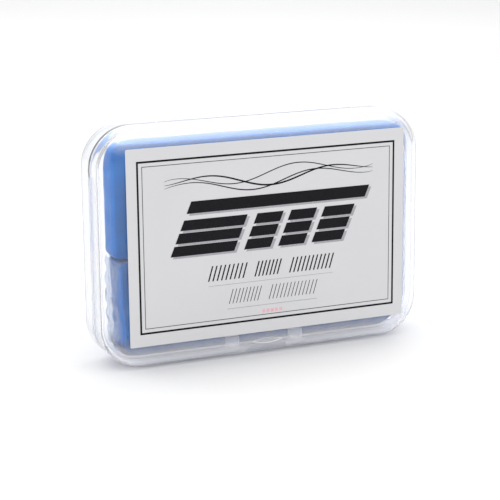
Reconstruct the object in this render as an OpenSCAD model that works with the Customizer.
// Clay bar kit: a clear hinged case that stands on its latch edge, with a front label
// and two wrapped bars of detailing clay inside.
// +Z is up, +X runs along the case, and the lid faces -Y. The origin is the middle of
// the foot print. All lengths are in millimetres.

/* [Case] */
// Length of the case along X
case_w = 98.5; // [90:0.5:110]
// Height of the case as it stands, without the hinge fold
case_h = 68; // [62:0.5:76]
// Depth of the closed case from front to back
case_d = 18.9; // [17:0.1:24]
// Depth of the lid, the front half of the case
lid_d = 8.4; // [7.5:0.1:9]
// Wall thickness of both halves
wall = 1.2; // [1:0.1:1.4]
// Corner radius seen from the front
corner_r = 12; // [10:0.5:14]
// Rounding of the lid's front edge
front_round = 4; // [3:0.1:4.2]
// Rounding of the tray's back edge
back_round = 3; // [2:0.1:4]

/* [Rim lip] */
// Gap between the tray's lip and the inside of the lid
lip_gap = 0.15; // [0.1:0.05:0.3]
// Thickness of the lip
lip_t = 0.8; // [0.6:0.05:0.9]
// How far the lip reaches into the lid
lip_reach = 1.3; // [0.8:0.1:1.6]
// Depth of the thick band behind the lip, inside the tray
lip_band = 2.4; // [2:0.1:3]
// Height above which the rim has no lip, so that the lid can swing
lip_top = 54; // [40:1:55]

/* [Living hinge] */
// Length of the hinge along the top
hinge_w = 60; // [40:1:70]
// Height of the folded hinge above the case
hinge_rise = 0.6; // [0.4:0.05:1]
// Thickness of each leaf of the fold
hinge_leaf = 0.3; // [0.2:0.05:0.4]

/* [Latch] */
// Width of the flexing tongue
tongue_w = 13.4; // [10:0.2:14]
// Length of the tongue from its root to the parting line
tongue_root = 4.5; // [3.5:0.1:4.8]
// How far the tongue reaches under the tray
tongue_reach = 2; // [1.6:0.1:2.2]
// Gap on each side of the tongue
tongue_gap = 0.8; // [0.5:0.1:1]
// Radius of the snap bead on the tongue
bead_r = 0.3; // [0.2:0.05:0.35]
// Distance from the middle of the latch to each post
post_x = 9.9; // [9.6:0.1:12]
// Radius of the two posts beside the tongue
post_r = 2; // [1.5:0.1:2]
// Height of the top of the posts
post_top = 5.5; // [4:0.5:6]

/* [Thumb grip] */
// Width of the scoop at the bottom of the lid's front edge
scoop_w = 15.6; // [12:0.2:16]
// Depth of the scoop
scoop_depth = 0.6; // [0.2:0.1:0.7]
// Width of the almond-shaped recess above the scoop
almond_w = 9.2; // [7:0.2:11]
// Height of that recess
almond_h = 1.6; // [1.2:0.1:2]

/* [Label] */
// Width of the label
label_w = 85; // [70:0.5:86]
// Height of the label
label_h = 56; // [45:0.5:58]
// Thickness of the label
label_t = 0.1; // [0.1:0.05:0.3]
// How far the label sits to the right of the middle
label_x = 0.8; // [-2:0.1:2]
// Height of the label's middle
label_z = 34.7; // [33:0.1:36]

/* [Clay] */
// Length of the upper bar
upper_w = 90; // [80:0.5:90]
// Length of the lower bar
lower_w = 87; // [80:0.5:88]
// Thickness of the bars
bar_d = 11.1; // [9:0.1:11.2]
// Thickness of the wrapping film
film_t = 0.15; // [0.1:0.05:0.15]
// Gap between the film and the clay
film_gap = 0.1; // [0.05:0.05:0.1]

/* [Hidden] */
$fn = 96;

total_d = case_d + label_t;
front_y = -total_d / 2 + label_t;   // the lid's flat front face
back_y = total_d / 2;               // the tray's flat back face
part_y = front_y + lid_d;           // the plane where the halves meet
tray_d = back_y - part_y;
lip_inset = wall + lip_gap;
sunk = 0.2;                         // how far joined solids reach into the wall
band_inset = wall - sunk;
band_start = 0.4;                   // the band begins this far behind the parting plane
over = 1;                           // how far cutting solids pass the faces they cut

bar_clear = 0.7;                        // space between the bars and the tray's back wall
bar_y = back_y - wall - bar_clear - bar_d;  // front face of the bars
upper_x = 1.2;                          // middle of the upper bar
lower_x = 0.8;                          // middle of the lower bar
lower_z = [2.7, 30.0];                  // bottom and top of the lower bar
upper_z = [30.7, 63.2];                 // bottom and top of the upper bar
lower_corners = [3.5, 7, 1.2, 1.2];     // bottom left, bottom right, top right, top left
upper_corners = [1.2, 1.2, 3.4, 2.6];
tail_x = 2.4;                           // length of the gathered film at the lower bar's left end
tail_d = 7;                             // its depth, across the thickness of the bar
tail_z = [7, 28];                       // bottom and top of its root
tail_taper = 2;                         // how much it narrows at the bottom and at the top

tongue_z = [0.1, wall];                 // underside and top of the tongue
bead_y = part_y + 1.35;
pad_w = 18;                             // the tray's catch above the end of the tongue
pad_d = 5.5;
pad_z = [wall - sunk, 2.2];
tip_gap = 0.3;                          // room in the catch beyond the tongue's tip
catch_z = wall + 0.15;                  // ceiling of the catch, just above the tongue
groove_r = bead_r + 0.12;
groove_z = catch_z - 0.1;
post_gap = 0.3;                         // room between each post and the lid's front wall
scoop_taper = 2.8;                      // how much the scoop narrows on each side
scoop_top_w = scoop_w - 2 * scoop_taper;
scoop_cut_h = 3;                        // half the height of the scoop's cut, past both edges
almond_z = 3.95;                        // height of the middle of the almond
almond_depth = 0.4;
almond_r = (almond_w * almond_w + almond_h * almond_h) / (4 * almond_h);

// An outline with one radius for each corner: bottom left, bottom right, top right, top left.
module outline(x, z, radii) {
    centres = [[x[0] + radii[0], z[0] + radii[0]], [x[1] - radii[1], z[0] + radii[1]],
               [x[1] - radii[2], z[1] - radii[2]], [x[0] + radii[3], z[1] - radii[3]]];
    for (i = [0:3]) translate(centres[i]) circle(radii[i]);
    polygon([[x[0], centres[0][1]], [centres[0][0], z[0]], [centres[1][0], z[0]],
             [x[1], centres[1][1]], [x[1], centres[2][1]], [centres[2][0], z[1]],
             [centres[3][0], z[1]], [x[0], centres[3][1]]]);
}

// Half a section through a pan: an edge of radius e at the far end of a wall of length d.
module pan_section(length, d, e) {
    square([length - e, d]);
    square([length, d - e]);
    translate([length - e, d - e]) circle(e);
}

// A solid pan of w by h, depth d along +Z, with corners of radius r and its far edge
// rounded by e. It is centred in X and stands on Y = 0.
module pan(w, h, d, r, e) {
    for (x = [-1, 1] * (w / 2 - r), y = [r, h - r])
        translate([x, y, 0]) rotate_extrude() pan_section(r, d, e);
    translate([0, r, 0]) rotate([90, 0, 180]) linear_extrude(h - 2 * r)
        for (side = [0, 1]) mirror([side, 0, 0]) pan_section(w / 2, d, e);
    translate([-(w / 2 - r), h / 2, 0]) rotate([90, 0, 90]) linear_extrude(w - 2 * r)
        for (side = [0, 1]) mirror([side, 0, 0]) pan_section(h / 2, d, e);
}

// One hollow half of the case, open at Z = 0.
module half_shell(d, e) {
    difference() {
        pan(case_w, case_h, d, corner_r, e);
        translate([0, wall, -over])
            pan(case_w - 2 * wall, case_h - 2 * wall, d - wall + over, corner_r - wall, e - wall);
    }
}

// A ring that follows the rim, between two insets from the outside, along +Z.
module rim_ring(outer, inner, z0, z1) {
    translate([0, 0, z0]) linear_extrude(z1 - z0) difference() {
        outline([-case_w / 2 + outer, case_w / 2 - outer], [outer, case_h - outer],
                [1, 1, 1, 1] * (corner_r - outer));
        outline([-case_w / 2 + inner, case_w / 2 - inner], [inner, case_h - inner],
                [1, 1, 1, 1] * (corner_r - inner));
    }
}

// Stands a flat-built half up: the lid opens towards +Y, the tray towards -Y.
module stand_lid() { translate([0, part_y, 0]) rotate([90, 0, 0]) children(); }
module stand_tray() { translate([0, part_y, 0]) mirror([0, 1, 0]) rotate([90, 0, 0]) children(); }

// A solid along X with the outline (y, z) given as points.
module along_x(width) {
    translate([-width / 2, 0, 0]) rotate([90, 0, 90]) linear_extrude(width) children();
}

module tray() {
    color([0.93, 0.94, 0.98, 0.4]) difference() {
        union() {
            stand_tray() half_shell(tray_d, back_round);
            stand_tray() difference() {
                union() {
                    rim_ring(lip_inset, lip_inset + lip_t, -lip_reach, band_start + 0.1);
                    rim_ring(band_inset, lip_inset + lip_t, band_start, lip_band);
                }
                translate([-case_w / 2, lip_top, -lip_reach - over])
                    cube([case_w, case_h, lip_band + lip_reach + 2 * over]);
            }
            translate([-pad_w / 2, part_y, pad_z[0]]) cube([pad_w, pad_d, pad_z[1] - pad_z[0]]);
        }
        along_x(tongue_w + tongue_gap)
            translate([part_y - over, -over])
                square([tongue_reach + over + tip_gap, catch_z + over]);
        along_x(tongue_w + tongue_gap) translate([bead_y, groove_z]) circle(groove_r);
    }
}

// The flat scoop that is cut at 45 degrees from the lid's rounded bottom edge.
module thumb_scoop() {
    translate([0, front_y + front_round, front_round]) rotate([135, 0, 0])
        translate([0, 0, front_round - scoop_depth]) linear_extrude(2)
            polygon([[-scoop_w / 2, -scoop_cut_h], [scoop_w / 2, -scoop_cut_h],
                     [scoop_top_w / 2, scoop_cut_h], [-scoop_top_w / 2, scoop_cut_h]]);
}

// The almond above the scoop, where two cylinders cross.
module thumb_almond() {
    translate([0, front_y + almond_depth, almond_z]) rotate([90, 0, 0]) intersection_for(side = [-1, 1])
        translate([0, side * (almond_r - almond_h / 2), 0]) cylinder(h = 2, r = almond_r);
}

module lid() {
    color([0.93, 0.94, 0.98, 0.4]) difference() {
        union() {
            stand_lid() half_shell(lid_d, front_round);
            for (x = [-1, 1] * post_x)
                translate([x, front_y + wall + post_r + post_gap, wall - sunk])
                    cylinder(h = post_top - wall + sunk, r = post_r);
        }
        translate([-tongue_w / 2 - tongue_gap, part_y - tongue_root, -over])
            cube([tongue_w + 2 * tongue_gap, tongue_root + over, wall + 2 * over]);
        thumb_scoop();
        thumb_almond();
    }
}

// One leaf of the fold. side is 1 for the tray's leaf and -1 for the lid's.
module hinge_leaf(side) {
    translate([0, part_y, 0]) along_x(hinge_w) polygon([
        [0, case_h], [side * hinge_leaf, case_h],
        [side * hinge_leaf, case_h + hinge_rise - hinge_leaf / 2], [0, case_h + hinge_rise]]);
}

module hinge_leaf_rear() { color([0.9, 0.92, 0.97, 0.5]) hinge_leaf(1); }
module hinge_leaf_front() { color([0.9, 0.92, 0.97, 0.5]) hinge_leaf(-1); }

module latch_tongue() {
    color([0.9, 0.92, 0.97, 0.5]) {
        translate([-tongue_w / 2, part_y - tongue_root, tongue_z[0]])
            cube([tongue_w, tongue_root + tongue_reach, tongue_z[1] - tongue_z[0]]);
        along_x(tongue_w) translate([bead_y, tongue_z[1]]) circle(bead_r);
    }
}

module front_label() {
    color([0.87, 0.87, 0.88]) translate([label_x - label_w / 2, front_y - label_t, label_z - label_h / 2])
        cube([label_w, label_t, label_h]);
}

// A bar as wide as x, as high as z, grown by g on every side.
module bar(mid_x, w, z, corners, g) {
    translate([0, bar_y + bar_d + g, 0]) rotate([90, 0, 0]) linear_extrude(bar_d + 2 * g)
        outline([mid_x - w / 2 - g, mid_x + w / 2 + g], [z[0] - g, z[1] + g],
                [for (r = corners) r + g]);
}

module clay_bar_upper() { color([0.29, 0.49, 0.76]) bar(upper_x, upper_w, upper_z, upper_corners, 0); }
module clay_bar_lower() { color([0.29, 0.49, 0.76]) bar(lower_x, lower_w, lower_z, lower_corners, 0); }

// The film around a bar. Children join the film before the bar's room is cut from it.
module wrap(mid_x, w, z, corners) {
    color([0.95, 0.97, 1, 0.3]) difference() {
        union() {
            bar(mid_x, w, z, corners, film_gap + film_t);
            children();
        }
        bar(mid_x, w, z, corners, film_gap);
    }
}

// The gathered film at the lower bar's left end.
module film_tail() {
    translate([lower_x - lower_w / 2, bar_y + bar_d / 2 + tail_d / 2, 0])
        rotate([90, 0, 0]) linear_extrude(tail_d)
            polygon([[0, tail_z[0]], [-tail_x, tail_z[0] + tail_taper],
                     [-tail_x, tail_z[1] - tail_taper], [0, tail_z[1]]]);
}

module wrap_upper() { wrap(upper_x, upper_w, upper_z, upper_corners); }
module wrap_lower() { wrap(lower_x, lower_w, lower_z, lower_corners) film_tail(); }

tray();
lid();
hinge_leaf_rear();
hinge_leaf_front();
latch_tongue();
front_label();
clay_bar_upper();
clay_bar_lower();
wrap_upper();
wrap_lower();
